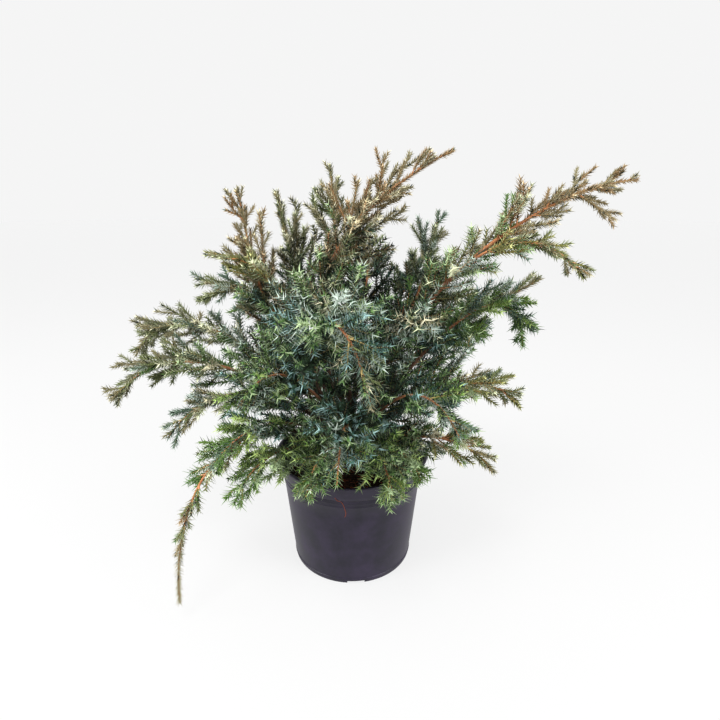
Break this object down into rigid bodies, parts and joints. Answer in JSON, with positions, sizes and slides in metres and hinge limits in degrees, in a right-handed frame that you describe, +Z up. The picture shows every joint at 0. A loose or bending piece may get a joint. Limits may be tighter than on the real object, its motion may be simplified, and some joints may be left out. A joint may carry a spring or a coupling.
{
  "type": "potted juniper shrub",
  "caption": "Young spreading conifer shrub with arching boughs of short blue-green needles, standing in a round tapered plastic nursery pot filled with soil.",
  "frame": {"origin": "centre of the pot's flat underside, on the ground", "axes": "+Z up, +X to the right and +Y away from someone who stands in front of the plant, as in the picture"},
  "size_m": [0.5689, 0.4984, 0.5048],
  "materials": {
    "pot": "satin moulded plastic",
    "potting_soil": "damp crumbly peat compost",
    "bark": "rough scaly brown bark",
    "young_bark": "smooth orange-brown young bark",
    "foliage_bronze": "needles with a bronze tinge at the shoot tips",
    "foliage_silver": "waxy silver-grey needles",
    "foliage_blue": "waxy glaucous blue needles",
    "foliage_olive": "yellow-green needles on orange shoots",
    "foliage_sea": "blue-green needles",
    "foliage_fresh": "fresh green needles"
  },
  "bodies": {
    "root": {"pot": "pot", "potting_soil": "potting_soil", "stem": "bark", "bough_crown_leader": "young_bark", "bough_crown_spire": "young_bark", "bough_crown_left_spire": "young_bark", "bough_crown_right_spire": "young_bark", "bough_back": "young_bark", "bough_top_left_spire": "young_bark", "bough_top_left_arm": "young_bark", "bough_top_left_low": "young_bark", "bough_right_leader": "young_bark", "bough_right_under": "young_bark", "bough_right_mid": "young_bark", "bough_right_nodding": "young_bark", "bough_right_low": "young_bark", "bough_front_high": "young_bark", "bough_front_nodding": "young_bark", "bough_front_right_high": "young_bark", "bough_left_whip": "young_bark", "bough_left_leader": "young_bark", "bough_left_mid": "young_bark", "bough_back_left": "young_bark", "bough_back_right": "young_bark", "foliage_crown_leader": "foliage_bronze", "foliage_crown_spire": "foliage_silver", "foliage_crown_left_spire": "foliage_silver", "foliage_crown_right_spire": "foliage_blue", "foliage_back": "foliage_blue", "foliage_top_left_spire": "foliage_bronze", "foliage_top_left_arm": "foliage_olive", "foliage_top_left_low": "foliage_blue", "foliage_right_leader": "foliage_bronze", "foliage_right_under": "foliage_olive", "foliage_right_mid": "foliage_blue", "foliage_right_nodding": "foliage_sea", "foliage_right_low": "foliage_olive", "foliage_right_rim": "foliage_olive", "foliage_rim_right_drop": "foliage_fresh", "foliage_front_high": "foliage_silver", "foliage_front_nodding": "foliage_blue", "foliage_front_right_high": "foliage_blue", "foliage_front_left_mid": "foliage_sea", "foliage_front_mid": "foliage_sea", "foliage_front_right_mid": "foliage_sea", "foliage_front_right_skirt": "foliage_fresh", "foliage_front_left_skirt": "foliage_fresh", "foliage_front_left_low": "foliage_sea", "foliage_left_skirt": "foliage_fresh", "foliage_left_whip": "foliage_bronze", "foliage_left_low": "foliage_blue", "foliage_left_leader": "foliage_silver", "foliage_left_mid": "foliage_silver", "foliage_back_left": "foliage_sea", "foliage_back_right": "foliage_blue", "foliage_back_low_right": "foliage_sea", "foliage_back_low": "foliage_sea", "foliage_back_low_left": "foliage_fresh", "foliage_back_left_skirt": "foliage_fresh", "foliage_back_right_skirt": "foliage_sea"}
  },
  "joints": []
}
